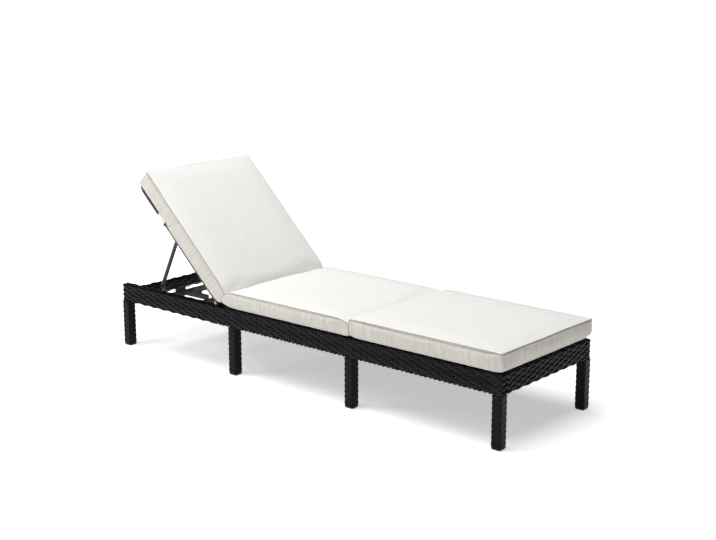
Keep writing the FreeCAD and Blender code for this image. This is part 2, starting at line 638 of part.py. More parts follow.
# Bent bars. The backrest frame and the prop are each bent to a U, with an eye at both free
# ends. The U lies in the XY plane with its hinge line on the X axis.
def bent_bar(name, half_span, span_now, reach, reach_now, bend, radius, eye_radius):
    """U of round bar, drawn lying flat, with an eye round the hinge line at each end."""
    body = doc.addObject("PartDesign::Body", name)
    path = sketch_on(body, name + "_path", "XY_Plane")
    s, b = span_now, size(bend)
    straight = reach_now - b
    path.addGeometry(Part.LineSegment(V(-s, 0), V(-s, straight)))
    path.addGeometry(Part.ArcOfCircle(Part.Circle(V(b - s, straight), V(0, 0, 1), b), math.pi / 2, math.pi))
    path.addGeometry(Part.LineSegment(V(b - s, reach_now), V(s - b, reach_now)))
    path.addGeometry(Part.ArcOfCircle(Part.Circle(V(s - b, straight), V(0, 0, 1), b), 0, math.pi / 2))
    path.addGeometry(Part.LineSegment(V(s, straight), V(s, 0)))
    for pair in ((0, 2, 1, 2), (1, 1, 2, 1), (2, 2, 3, 2), (3, 1, 4, 1)):
        path.addConstraint(Sketcher.Constraint("Tangent", *pair))
    path.addConstraint(Sketcher.Constraint("Vertical", 0))
    path.addConstraint(Sketcher.Constraint("Vertical", 4))
    path.addConstraint(Sketcher.Constraint("PointOnObject", 0, 1, -1))
    path.addConstraint(Sketcher.Constraint("PointOnObject", 4, 2, -1))
    hold(path, "DistanceX", 0, 1, -1, 1, half_span)
    hold(path, "DistanceX", -1, 1, 4, 2, half_span)
    hold(path, "DistanceY", -1, 1, 2, 1, reach)
    hold(path, "Radius", 1, f"@{bend}")
    hold(path, "Radius", 3, f"@{bend}")
    ring = sketch_on(body, name + "_ring", "XZ_Plane")
    add_circle(ring, f"-{half_span}", "0", f"@{radius}")
    doc.recompute()
    pipe = body.newObject("PartDesign::AdditivePipe", name + "_pipe")
    pipe.Profile = ring
    pipe.Spine = (path, [f"Edge{i + 1}" for i in range(path.GeometryCount)])
    body.Tip = pipe
    doc.recompute()
    eyes = []
    for side, sign in SIDES:
        eye = sketch_on(body, f"{name}_eye_{side}", "YZ_Plane")
        add_circle(eye, "0", "0", eye_radius)
        bind(eye, AttachmentOffset__Base__z=f"{sign} * {half_span}")
        eyes.append(pad(body, f"{name}_eye_pad_{side}", eye, f"2 * @{radius}"))
    doc.recompute()
    before = body.Shape.Volume
    bore = sketch_on(body, name + "_bore", "YZ_Plane")
    add_circle(bore, "0", "0", "@pivot_radius + @pivot_gap")
    body.Tip = through(body, name + "_bore_cut", bore)
    check_volume(body, name, before)
    return body


def on_backrest(item, x="0", along="0", out="0"):
    """Places an item drawn on the flat backrest, then turns it up with the backrest."""
    y = f"{HINGE_PLACE} + ({along}) * cos(@back_angle) - ({out}) * sin(@back_angle)"
    z = f"{HINGE_Z} + ({along}) * sin(@back_angle) + ({out}) * cos(@back_angle)"
    return put(item, x=x, y=y, z=z, tilt=BACK_TILT)


# Backrest frame: one round bar bent to a U, its eyes on the hinge bolts.
back_frame = bent_bar(
    "backrest_frame", BACK_HALF_SPAN, back_half_span, "@back_length", size("back_length"),
    "back_bend", "back_tube_radius", "@back_knuckle_radius",
)
on_backrest(back_frame)
keep("backrest_frame", back_frame)

# Cross tubes welded between the sides of the backrest, their ends saddled to the side tubes.
CROSS_PLACES = ("@cross_tube_lower", "@prop_pivot_along", "@back_length - @cross_tube_to_top")
crosses = []
for i, along in enumerate(CROSS_PLACES):
    centre = ("0", along, "-@cross_tube_drop")
    tube = cut(
        f"back_cross_{i}",
        rod(f"back_cross_outside_{i}", "@cross_tube_radius", f"2 * {BACK_HALF_SPAN}", centre),
        [rod(f"back_cross_inside_{i}", "@cross_tube_radius - @cross_tube_wall", f"3 * {BACK_HALF_SPAN}", centre)],
    )
    crosses.append(tube)
saddles = []
for side, sign in SIDES:
    saddle = doc.addObject("Part::Cylinder", f"saddle_{side}")
    saddle.Placement = FreeCAD.Placement(V(), FreeCAD.Rotation(V(1, 0, 0), -90))
    bind(saddle, Radius="@back_tube_radius", Height="@back_length")
    bind(saddle, Placement__Base__x=f"{sign} * {BACK_HALF_SPAN}")
    saddles.append(saddle)
saddled = []
for i, tube in enumerate(crosses):
    saddled.append(cut(f"back_cross_saddled_{i}", tube, saddles))
cross_group = on_backrest(group("backrest_cross_tubes", saddled))
keep("backrest_cross_tubes", cross_group)

# Woven panel of the backrest, lying on the cross tubes between the side tubes.
PANEL_Z = "@cross_tube_radius - @cross_tube_drop + @panel_thickness / 2"
PANEL_TOP = "@back_length - @back_tube_radius - @panel_upper_gap"
panel_run = f"{PANEL_TOP} - @panel_lower_gap"
STRAP_ROOM = "@strap_gap + @strap_thickness + @side_gap"
panel_width = f"2 * ({BACK_HALF_SPAN} - @back_tube_radius - ({STRAP_ROOM}))"
panel = doc.addObject("PartDesign::Body", "backrest_panel")
panel_outline = sketch_on(panel, "backrest_panel_outline", "XY_Plane")
add_rectangle(panel_outline, panel_width, panel_run)
panel_pad = pad(panel, "backrest_panel_pad", panel_outline, "@panel_thickness")
doc.recompute()
upper_corners = []
for number, edge in enumerate(panel_pad.Shape.Edges, start=1):
    if edge.CenterOfMass.y > 0 and abs(edge.tangentAt(edge.FirstParameter).z) > 0.5:
        upper_corners.append(f"Edge{number}")
panel_rounding = panel.newObject("PartDesign::Fillet", "backrest_panel_rounding")
panel_rounding.Base = (panel_pad, upper_corners)
bind(panel_rounding, Radius="@back_bend - @back_tube_radius - @panel_upper_gap")
panel.Tip = panel_rounding
on_backrest(panel, along=f"@panel_lower_gap + ({panel_run}) / 2", out=PANEL_Z)
keep("backrest_panel", panel)

# Plates saddled under the middle cross tube, and the bolts from which the prop hangs.
PLATE_X = f"{PROP_HALF_SPAN} - @prop_tube_radius - @side_gap - @prop_plate_thickness / 2"
for side, sign in SIDES:
    plate = doc.addObject("PartDesign::Body", f"prop_plate_{side}")
    round_end = sketch_on(plate, f"prop_plate_end_{side}", "YZ_Plane")
    add_circle(round_end, "0", "0", "@prop_plate_radius")
    pad(plate, f"prop_plate_end_pad_{side}", round_end, "@prop_plate_thickness")
    web = sketch_on(plate, f"prop_plate_web_{side}", "YZ_Plane")
    half, tall = size("prop_plate_radius"), size("prop_pivot_drop") - size("cross_tube_drop")
    outline = [V(-half, 0), V(half, 0), V(half, tall), V(-half, tall)]
    for i in range(4):
        web.addGeometry(Part.LineSegment(outline[i], outline[(i + 1) % 4]))
    for i in range(4):
        web.addConstraint(Sketcher.Constraint("Coincident", i, 2, (i + 1) % 4, 1))
    for i in (0, 2):
        web.addConstraint(Sketcher.Constraint("Horizontal", i))
        web.addConstraint(Sketcher.Constraint("Vertical", i + 1))
    web.addConstraint(Sketcher.Constraint("Symmetric", 0, 1, 0, 2, -1, 1))
    hold(web, "DistanceX", 0, 1, 0, 2, "2 * @prop_plate_radius")
    hold(web, "DistanceY", 1, 1, 1, 2, "@prop_pivot_drop - @cross_tube_drop")
    pad(plate, f"prop_plate_web_pad_{side}", web, "@prop_plate_thickness")
    doc.recompute()
    before = plate.Shape.Volume
    holes = sketch_on(plate, f"prop_plate_holes_{side}", "YZ_Plane")
    add_circle(holes, "0", "0", "@pivot_radius")
    add_circle(holes, "0", "@prop_pivot_drop - @cross_tube_drop", "@cross_tube_radius")
    plate.Tip = through(plate, f"prop_plate_cut_{side}", holes)
    check_volume(plate, plate.Name, before)
    on_backrest(plate, x=f"{sign} * ({PLATE_X})", along="@prop_pivot_along", out="-@prop_pivot_drop")
    keep(f"prop_plate_{side}", plate)
bolts = []
for side, sign in SIDES:
    inner = f"{PROP_HALF_SPAN} - @prop_tube_radius - @side_gap - @prop_plate_thickness"
    outer = f"{PROP_HALF_SPAN} + @prop_tube_radius + @side_gap"
    bolts.append(pivot_bolt(f"prop_bolt_{side}", inner, outer, "0", "0", sign))
prop_bolts = group("prop_bolts", bolts)
on_backrest(prop_bolts, along="@prop_pivot_along", out="-@prop_pivot_drop")
keep("prop_bolts", prop_bolts)

# Prop: one round bar bent to a U. Its crossbar lies in the rack seats.
prop = bent_bar(
    "prop", PROP_HALF_SPAN, prop_half_span, PROP_LENGTH, prop_length,
    "prop_bend", "prop_tube_radius", "@prop_tube_radius",
)
put(prop, y=PIVOT_Y, z=PIVOT_Z, tilt=PROP_TILT)
keep("prop", prop)


# Cushions. Each is a skin loft through outlines across the lounger: a flat base, rounded
# edges, sides drawn in at the waist and a crowned top, lower and narrower towards the ends.
MOST_CORNER_SHARE = 0.45


def cushion_outline(along, half, base, tall, crown, corner, waist):
    """Closed outline across the lounger at one station."""
    corner = min(corner, MOST_CORNER_SHARE * tall)
    top = base + tall
    bulge = corner * (1 - math.sqrt(0.5))
    points = {
        "a": V(-half + corner, along, base),
        "b": V(half - corner, along, base),
        "c": V(half, along, base + corner),
        "d": V(half, along, top - corner),
        "e": V(half - corner, along, top),
        "f": V(-half + corner, along, top),
        "g": V(-half, along, top - corner),
        "h": V(-half, along, base + corner),
    }

    def arc(start, middle, end):
        return Part.Arc(points[start], middle, points[end]).toShape()

    def bevel(start, end):
        return Part.LineSegment(points[start], points[end]).toShape()

    high, centre = top - bulge, base + tall / 2
    wide = half - bulge
    edges = [
        bevel("a", "b"),
        bevel("b", "c"),
        arc("c", V(half - waist, along, centre), "d"),
        arc("d", V(wide, along, high), "e"),
        arc("e", V(0, along, top + crown), "f"),
        arc("f", V(-wide, along, high), "g"),
        arc("g", V(waist - half, along, centre), "h"),
        bevel("h", "a"),
    ]
    return Part.Wire(edges)


# Stations near a cushion's end: how far from it in the cushion's thickness, and the shares of
# the width, the height and the crown that are left there. Where the seat and the back cushion
# meet at the hinge, both thin out over a longer run.
SHORT_ROLL = (
    (0.0, 0.968, 0.40, 0.10),
    (0.06, 0.982, 0.65, 0.22),
    (0.20, 0.993, 0.87, 0.42),
    (0.60, 1.0, 1.0, 0.70),
)
LONG_ROLL = (
    (0.0, 0.968, 0.34, 0.10),
    (0.10, 0.982, 0.58, 0.22),
    (0.40, 0.993, 0.84, 0.42),
    (1.0, 1.0, 1.0, 0.70),
)
MIDDLE_STATION_SHARES = (0.5,)


def cushion(name, front, rear, base, thick, front_roll, rear_roll):
    """Crowned cushion between two ends, as a closed loft."""
    half = size("overall_width") / 2 - size("cushion_side_inset")
    stations = [(front + s[0] * thick, *s[1:]) for s in front_roll]
    for share in MIDDLE_STATION_SHARES:
        crowned = math.sin(math.pi * share) ** 0.5
        stations.append((front + (rear - front) * share, 1, 1, crowned))
    stations += [(rear - s[0] * thick, *s[1:]) for s in reversed(rear_roll)]
    outlines = []
    for along, wide, high, crowned in stations:
        tall = thick * high
        lift = (thick - tall) / 2 * (1 - high)
        outlines.append(
            cushion_outline(
                along, half * wide, base + lift, tall, size("cushion_crown") * crowned,
                size("cushion_corner"), size("cushion_waist") * high,
            )
        )
    solid = doc.addObject("Part::Feature", name)
    solid.Shape = Part.makeLoft(outlines, True, True)
    return solid


rest_z = size("rail_top_height") + size("seat_gap")
front, rear = -size("overall_length") / 2, hinge_place - size("seat_cushion_to_hinge")
foot_rear = front + size("foot_cushion_length")
seat_front = foot_rear + size("cushion_split_gap")
foot = cushion("foot_cushion", front, foot_rear, rest_z, size("foot_thickness"), SHORT_ROLL, SHORT_ROLL)
keep("foot_cushion", foot)
seat = cushion("seat_cushion", seat_front, rear, rest_z, size("seat_thickness"), SHORT_ROLL, LONG_ROLL)
keep("seat_cushion", seat)
back = cushion(
    "back_cushion", -size("back_cushion_below_hinge"), size("back_length") - size("back_cushion_top_inset"),
    size("back_cushion_lift"), size("back_thickness"), LONG_ROLL, SHORT_ROLL,
)
on_backrest(back)
keep("back_cushion", back)

# Straps of the back cushion: webbing looped round the side tubes of the backrest.
for side, sign in SIDES:
    strap = doc.addObject("PartDesign::Body", f"cushion_strap_{side}")
    loop = sketch_on(strap, f"strap_loop_{side}", "XZ_Plane")
    inner = size("back_tube_radius") + size("strap_gap")
    outer = inner + size("strap_thickness")
    tall = size("back_cushion_lift") - size("strap_gap")
    for r in (outer, inner):
        loop.addGeometry(Part.ArcOfCircle(Part.Circle(V(), V(0, 0, 1), r), math.pi, 2 * math.pi))
    loop.addGeometry(Part.LineSegment(V(outer, 0), V(outer, tall)))
    loop.addGeometry(Part.LineSegment(V(outer, tall), V(inner, tall)))
    loop.addGeometry(Part.LineSegment(V(inner, tall), V(inner, 0)))
    loop.addGeometry(Part.LineSegment(V(-outer, 0), V(-outer, tall)))
    loop.addGeometry(Part.LineSegment(V(-outer, tall), V(-inner, tall)))
    loop.addGeometry(Part.LineSegment(V(-inner, tall), V(-inner, 0)))
    links = (
        (0, 2, 2, 1), (2, 2, 3, 1), (3, 2, 4, 1), (4, 2, 1, 2),
        (0, 1, 5, 1), (5, 2, 6, 1), (6, 2, 7, 1), (7, 2, 1, 1),
    )
    for link in links:
        loop.addConstraint(Sketcher.Constraint("Coincident", *link))
    loop.addConstraint(Sketcher.Constraint("Coincident", 0, 3, -1, 1))
    loop.addConstraint(Sketcher.Constraint("Coincident", 1, 3, -1, 1))
    for line in (2, 4, 5, 7):
        loop.addConstraint(Sketcher.Constraint("Vertical", line))
    for line in (3, 6):
        loop.addConstraint(Sketcher.Constraint("Horizontal", line))
    for arc, end in ((0, 1), (0, 2), (1, 1), (1, 2)):
        loop.addConstraint(Sketcher.Constraint("PointOnObject", arc, end, -1))
    hold(loop, "Radius", 0, "@back_tube_radius + @strap_gap + @strap_thickness")
    hold(loop, "Radius", 1, "@back_tube_radius + @strap_gap")
    hold(loop, "DistanceY", 2, 1, 2, 2, "@back_cushion_lift - @strap_gap")
    hold(loop, "DistanceY", 5, 1, 5, 2, "@back_cushion_lift - @strap_gap")
    strap.Tip = pad(strap, f"strap_pad_{side}", loop, "@strap_width")
    on_backrest(strap, x=f"{sign} * {BACK_HALF_SPAN}", along="@strap_place")
    keep(f"cushion_strap_{side}", strap)

doc.recompute()
for item in doc.Objects:
    if "Invalid" in item.State or "Error" in item.State:
        raise ValueError(f"{item.Label} failed: {item.State}")
os.makedirs("parts", exist_ok=True)
for label, item in nodes.items():
    if item.Shape.isNull() or not item.Shape.isValid() or not item.Shape.Solids:
        raise ValueError(f"{label} has no sound solid")
    item.Shape.exportStep(f"parts/{label}.step")
    box = item.Shape.BoundBox
    print(f"{label}: {len(item.Shape.Solids)} solids, {item.Shape.Volume:.0f} mm3, "
          f"x {box.XMin:.1f} {box.XMax:.1f} y {box.YMin:.1f} {box.YMax:.1f} z {box.ZMin:.1f} {box.ZMax:.1f}")
print(f"prop length {prop_length:.2f}, prop angle {prop_tilt:.2f}, pivot y {pivot_y:.2f} z {pivot_z:.2f}")
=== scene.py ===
import math
from collections import namedtuple

import bpy
import numpy as np
from mathutils import Matrix, Vector, noise


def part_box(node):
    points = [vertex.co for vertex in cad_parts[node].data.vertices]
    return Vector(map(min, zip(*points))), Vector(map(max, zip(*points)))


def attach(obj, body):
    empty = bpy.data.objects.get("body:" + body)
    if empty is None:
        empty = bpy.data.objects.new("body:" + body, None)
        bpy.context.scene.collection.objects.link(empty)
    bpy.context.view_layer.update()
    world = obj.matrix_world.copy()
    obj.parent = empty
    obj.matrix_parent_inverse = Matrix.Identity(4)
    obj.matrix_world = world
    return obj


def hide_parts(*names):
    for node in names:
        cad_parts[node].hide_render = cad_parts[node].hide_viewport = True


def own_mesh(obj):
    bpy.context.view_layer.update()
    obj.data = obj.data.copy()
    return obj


# An adjustable chaise longue of black woven strand with three pale cushions, built over its
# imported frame. Lengths are in metres. The head end is at +Y, the side nearest the camera is
# -X, and the floor is at z = 0.
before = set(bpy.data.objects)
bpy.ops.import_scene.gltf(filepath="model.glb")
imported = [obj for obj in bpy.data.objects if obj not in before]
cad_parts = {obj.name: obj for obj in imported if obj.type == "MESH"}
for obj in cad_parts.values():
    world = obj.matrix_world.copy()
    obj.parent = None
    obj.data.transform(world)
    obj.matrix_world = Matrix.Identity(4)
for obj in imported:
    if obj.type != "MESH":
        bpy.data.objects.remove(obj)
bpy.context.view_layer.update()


# Side rails. Each is a welded steel ladder wrapped in half-round extruded strand: seven rows
# up the outer face and round both ends, seven inside and three on top. Each strand runs over
# one hidden stake and under the next, a step out of line with the last. Below the seat the
# strands cross the underside, and below the open head part they run along it.
def start_material(name, base, roughness):
    """A principled material, its node tree and its shader."""
    material = bpy.data.materials.new(name)
    material.use_nodes = True
    shader = material.node_tree.nodes["Principled BSDF"]
    shader.inputs["Base Color"].default_value = (*base, 1)
    shader.inputs["Roughness"].default_value = roughness
    return material, material.node_tree, shader


def piece_noise(tree, scale, detail=3.0, stretch=(1, 1, 1)):
    """Noise fixed to the piece, so it looks the same from every side."""
    coordinates = tree.nodes.new("ShaderNodeTexCoord")
    mapping = tree.nodes.new("ShaderNodeMapping")
    mapping.inputs["Scale"].default_value = stretch
    texture = tree.nodes.new("ShaderNodeTexNoise")
    texture.inputs["Scale"].default_value = scale
    texture.inputs["Detail"].default_value = detail
    tree.links.new(coordinates.outputs["Object"], mapping.inputs["Vector"])
    tree.links.new(mapping.outputs["Vector"], texture.inputs["Vector"])
    return texture.outputs["Fac"]


def tint(tree, shader, source, low, high, start=0.35, end=0.65):
    """Base colour that drifts between two tones."""
    ramp = tree.nodes.new("ShaderNodeValToRGB")
    ramp.color_ramp.elements[0].position = start
    ramp.color_ramp.elements[0].color = (*low, 1)
    ramp.color_ramp.elements[1].position = end
    ramp.color_ramp.elements[1].color = (*high, 1)
    tree.links.new(source, ramp.inputs["Fac"])
    tree.links.new(ramp.outputs["Color"], shader.inputs["Base Color"])


def roughen(tree, shader, source, low, high):
    """Roughness that drifts between two values."""
    span = tree.nodes.new("ShaderNodeMapRange")
    span.inputs["To Min"].default_value = low
    span.inputs["To Max"].default_value = high
    tree.links.new(source, span.inputs["Value"])
    tree.links.new(span.outputs["Result"], shader.inputs["Roughness"])


def emboss(tree, shader, height, strength, distance):
    """Bump from a height."""
    bump = tree.nodes.new("ShaderNodeBump")
    bump.inputs["Strength"].default_value = strength
    bump.inputs["Distance"].default_value = distance
    tree.links.new(height, bump.inputs["Height"])
    tree.links.new(bump.outputs["Normal"], shader.inputs["Normal"])


strand, tree, shader = start_material("black_strand", (0.02, 0.02, 0.021), 0.42)
tone = piece_noise(tree, 28.0)
tint(tree, shader, tone, (0.002, 0.002, 0.0021), (0.005, 0.005, 0.0053))
shader.inputs["Specular IOR Level"].default_value = 0.10
roughen(tree, shader, piece_noise(tree, 60.0), 0.20, 0.34)
emboss(tree, shader, piece_noise(tree, 900.0), 0.25, 0.0004)


def mesh_piece(name, vertices, faces, material):
    """A smooth mesh object."""
    mesh = bpy.data.meshes.new(name)
    mesh.from_pydata([tuple(v) for v in vertices], [], faces)
    mesh.materials.append(material)
    mesh.polygons.foreach_set("use_smooth", [True] * len(mesh.polygons))
    mesh.update()
    piece = bpy.data.objects.new(name, mesh)
    bpy.context.collection.objects.link(piece)
    return piece


def add_sheet(parts, points, normals, closed=False):
    """Adds a grid of points as quads that face along its normals."""
    vertices, faces = parts
    first = len(vertices)
    rows, columns = points.shape[:2]
    vertices.extend(points.reshape(-1, 3))
    along, over = points[0, 1] - points[0, 0], points[1, 0] - points[0, 0]
    turned = np.cross(along, over) @ normals[0, 0] < 0
    for r in range(rows - 1):
        for c in range(columns - 1 + closed):
            a, b = first + r * columns + c, first + r * columns + (c + 1) % columns
            quad = (a, b, b + columns, a + columns)
            faces.append(quad[::-1] if turned else quad)


def weave(
    parts, place, run, height, stakes, rows,
    closed=False, fine=8, ground=True, shift=0.0, depth=0.9,
):
    """Strands, stakes and the dark ground behind them over a surface. place(u, v) gives its
    points and outward normals, u along the rows and v across them. shift moves the first
    stake, in steps, and depth scales the waves of the strands."""
    step, width = run / stakes, height / rows
    count = stakes * fine + (0 if closed else 1)
    u = np.arange(count) * step / fine
    across = np.array([-0.47, -0.40, -0.22, 0.0, 0.22, 0.40, 0.47])
    crown = np.array([-0.0034, -0.0016, -0.0001, 0.0005, -0.0001, -0.0016, -0.0034])
    for row in range(rows):
        wave = np.sin(np.pi * (u / step + shift) + np.pi * (row % 2))
        over, under = 0.0024 * np.abs(wave) ** 2.2, -0.0034 * np.abs(wave) ** 0.5
        lift = depth * np.where(wave > 0, over, under)
        uu, vv = np.meshgrid(u, width * (row + 0.5 + across))
        points, normals = place(uu, vv)
        round_over = depth * (0.4 + 0.6 * np.clip(wave, 0, 1))
        points = points + normals * (lift + crown[:, None] * round_over)[..., None]
        add_sheet(parts, points, normals, closed)
    v = np.arange(rows * 2 + 1) * width / 2
    across = np.array([-0.16, -0.12, 0.12, 0.16])
    sunk = np.array([-0.0034, -0.0026, -0.0026, -0.0034])
    for stake in range(stakes):
        vv, uu = np.meshgrid(v, step * ((stake + 0.5 - shift) % stakes + across))
        points, normals = place(uu % run if closed else uu, vv)
        add_sheet(parts, points + normals * sunk[:, None, None], normals)
    if ground:
        u = np.linspace(0, run, stakes * 2 + (0 if closed else 1), endpoint=not closed)
        uu, vv = np.meshgrid(u, np.linspace(0, height, rows * 2 + 1))
        points, normals = place(uu, vv)
        behind = 0.0042
        add_sheet(parts, points - normals * behind, normals, closed)


def plan_path(corners, radius, closed=False):
    """Plan line with rounded corners: points and left-hand normals by length, and its length."""
    corners = [np.array(corner, float) for corner in corners]
    points, normals = [], []
    for i, corner in enumerate(corners):
        if not closed and i in (0, len(corners) - 1):
            way = corners[1] - corners[0] if i == 0 else corners[-1] - corners[-2]
            way = way / np.linalg.norm(way)
            points.append(corner)
            normals.append((-way[1], way[0]))
            continue
        a = corner - corners[i - 1]
        b = corners[(i + 1) % len(corners)] - corner
        a, b = a / np.linalg.norm(a), b / np.linalg.norm(b)
        turn = math.atan2(a[0] * b[1] - a[1] * b[0], a @ b)
        side = 1 if turn > 0 else -1
        centre = corner - a * radius + np.array((-a[1], a[0])) * radius * side
        for k in range(7):
            c, s = math.cos(turn * k / 6), math.sin(turn * k / 6)
            left = np.array((-a[1] * c - a[0] * s, -a[1] * s + a[0] * c))
            points.append(centre - left * radius * side)
            normals.append(left)
    if closed:
        points.append(points[0])
        normals.append(normals[0])
    points, normals = np.array(points), np.array(normals)
    length = np.concatenate([[0], np.cumsum(np.linalg.norm(np.diff(points, axis=0), axis=1))])

    def at(u):
        p = [np.interp(u, length, points[:, k]) for k in (0, 1)]
        q = [np.interp(u, length, normals[:, k]) for k in (0, 1)]
        size = np.hypot(*q)
        return p[0], p[1], q[0] / size, q[1] / size

    return at, float(length[-1])


EDGE = 0.005


def rounded(s, length, edge):
    """Runs along a straight face that turns by half of a quarter arc at both of its edges:
    the place along it, the depth behind it and the angle that it has turned."""
    straight = length - 2 * edge
    s = s - edge * math.pi / 4
    angle = (np.clip(s - straight, 0, None) - np.clip(-s, 0, None)) / max(edge, 1e-9)
    place = edge + np.clip(s, 0, straight) + edge * np.sin(angle)
    return place, edge * (1 - np.cos(angle)), angle


def wall(corners, low, high, closed=False, edge=EDGE, corner=EDGE):
    """Upright face over a plan line, its top and bottom edges rounded."""
    at, run = plan_path(corners, corner, closed)

    def place(u, v):
        x, y, nx, ny = at(u)
        up, back, angle = rounded(v, high - low, edge)
        points = np.stack([x - nx * back, y - ny * back, low + up], -1)
        return points, np.stack([nx * np.cos(angle), ny * np.cos(angle), np.sin(angle)], -1)

    return place, run, high - low - 2 * edge + edge * math.pi / 2


def lying(x_low, x_high, y_low, y_high, z, up, rows_along_y=True):
    """Level face, with u along the rows."""

    def place(u, v):
        x, y = (x_low + v, y_low + u) if rows_along_y else (x_low + u, y_low + v)
        points = np.stack([x, y, np.full_like(x, z)], -1)
        return points, np.broadcast_to(np.array((0.0, 0.0, up)), points.shape)

    sides = (y_high - y_low, x_high - x_low)
    return (place, *(sides if rows_along_y else sides[::-1]))


def wrapped(x_low, x_high, y_low, y_high, z):
    """Underside whose rows run across it and turn up a little at both edges."""

    def place(u, v):
        over, back, angle = rounded(u, x_high - x_low, EDGE)
        points = np.stack([x_low + over, y_low + v, z + back], -1)
        return points, np.stack([np.sin(angle), np.zeros_like(angle), -np.cos(angle)], -1)

    return place, x_high - x_low - 2 * EDGE + EDGE * math.pi / 2, y_high - y_low


SEAT_REAR = 0.412
TRIM = 0.0015
for side, sign in (("left", -1), ("right", 1)):
    low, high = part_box(f"side_rail_weave_{side}")
    outer, inner = (low.x, high.x) if sign < 0 else (high.x, low.x)
    first, last = (low.y, high.y) if sign < 0 else (high.y, low.y)
    parts = ([], [])
    round_ends = [(inner, first), (outer, first), (outer, last), (inner, last)]
    weave(parts, *wall(round_ends, low.z, high.z), 68, 7)
    weave(parts, *wall([(inner, last), (inner, first)], low.z, high.z), 66, 7, depth=0.45)
    top = lying(low.x + TRIM, high.x - TRIM, low.y + TRIM, high.y - TRIM, high.z, 1)
    weave(parts, *top, 66, 3, depth=0.5)
    seat_part = wrapped(low.x, high.x, low.y + TRIM, SEAT_REAR, low.z)
    weave(parts, *seat_part, 2, 131, shift=0.5, depth=0.5)
    head_part = lying(low.x + TRIM, high.x - TRIM, SEAT_REAR, high.y - TRIM, low.z, -1)
    weave(parts, *head_part, 19, 3)
    rail = mesh_piece(f"woven_side_rail_{side}", *parts, strand)
    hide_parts(f"side_rail_weave_{side}")
    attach(rail, "frame")

# End rails between the side rails, wrapped in the same strand. Their rows meet those on the
# ends of the side rails. The head rail is lower, so that the prop folds over it.
for end, rows in (("foot", 7), ("head", 4)):
    low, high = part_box(f"{end}_rail_weave")
    outer, inner = (low.y, high.y) if end == "foot" else (high.y, low.y)
    first, last = (high.x, low.x) if end == "foot" else (low.x, high.x)
    parts = ([], [])
    weave(parts, *wall([(first, outer), (last, outer)], low.z, high.z), 17, rows)
    weave(parts, *wall([(last, inner), (first, inner)], low.z, high.z), 17, rows)
    for z, up in ((high.z, 1), (low.z, -1)):
        face = lying(low.x, high.x, low.y + TRIM, high.y - TRIM, z, up, rows_along_y=False)
        weave(parts, *face, 17, 3)
    rail = mesh_piece(f"woven_{end}_rail", *parts, strand)
    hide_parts(f"{end}_rail_weave")
    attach(rail, "frame")

# Legs. The strand goes round each leg in eighteen rows, pulled tight over and under a stake
# inside every corner, so each row bulges a little at two corners and the next at the others.
PROUD = Vector((0.0012, 0.0012, 0))
for side in ("left", "right"):
    for place_name in ("foot_end", "seat_front", "seat_rear", "head_end"):
        node = f"leg_weave_{side}_{place_name}"
        low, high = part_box(node)
        low, high = low - PROUD, high + PROUD
        corners = [(low.x, low.y), (low.x, high.y), (high.x, high.y), (high.x, low.y)]
        parts = ([], [])
        sleeve = wall(corners, low.z, high.z, closed=True, edge=0.0, corner=0.003)
        weave(parts, *sleeve, 4, 18, closed=True, fine=10, shift=0.43, depth=0.2)
        leg = mesh_piece(f"woven_leg_{side}_{place_name}", *parts, strand)
        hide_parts(node)
        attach(leg, "frame")

# Glides: thin moulded caps pushed into the leg tubes, scuffed a little grey by the floor.
glide, tree, shader = start_material("black_glide", (0.015, 0.015, 0.015), 0.55)
scuffs = piece_noise(tree, 160.0, 6.0)
tint(tree, shader, scuffs, (0.010, 0.010, 0.010), (0.035, 0.035, 0.035), 0.45, 0.8)
emboss(tree, shader, scuffs, 0.2, 0.0004)


def finish_nodes(material, *names):
    """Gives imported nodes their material."""
    for name in names:
        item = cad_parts[name]
        item.data.materials.clear()
        item.data.materials.append(material)


finish_nodes(glide, "leg_glides")

# Steel inside the frame and the moving tubes: satin black powder coat with a fine orange peel.
coated_steel, tree, shader = start_material("black_coated_steel", (0.012, 0.012, 0.013), 0.36)
tint(tree, shader, piece_noise(tree, 18.0, 5.0), (0.009, 0.009, 0.010), (0.02, 0.02, 0.021))
emboss(tree, shader, piece_noise(tree, 1400.0), 0.12, 0.0003)
finish_nodes(
    coated_steel,
    "side_frame_left", "side_frame_right", "foot_rail_tubes", "head_rail_tubes", "leg_tubes",
    "deck_cross_tubes", "rack_cross_tubes", "rack_left", "rack_right",
    "hinge_plate_left", "hinge_plate_right", "hinge_spacers",
    "backrest_frame", "backrest_cross_tubes", "prop_plate_left", "prop_plate_right", "prop",
)

# Bolts of the hinges and the prop: zinc-plated steel dulled by weather.
zinc, tree, shader = start_material("dull_zinc", (0.30, 0.30, 0.31), 0.4)
shader.inputs["Metallic"].default_value = 1.0
roughen(tree, shader, piece_noise(tree, 300.0, 4.0), 0.28, 0.6)
finish_nodes(zinc, "hinge_bolts", "prop_bolts")

# Seat deck and backrest panel: open mats of the same strand, alike from above and below. The
# deck is laced to the side frames, and the panel lies on the backrest's cross tubes.
MAT_RISE = 0.0004
low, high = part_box("seat_deck")
parts = ([], [])
face = lying(low.x, high.x, low.y, high.y, (low.z + high.z) / 2 + MAT_RISE, 1)
weave(parts, *face, 64, 26, fine=4, ground=False)
deck = mesh_piece("woven_seat_deck", *parts, strand)
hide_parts("seat_deck")
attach(deck, "frame")

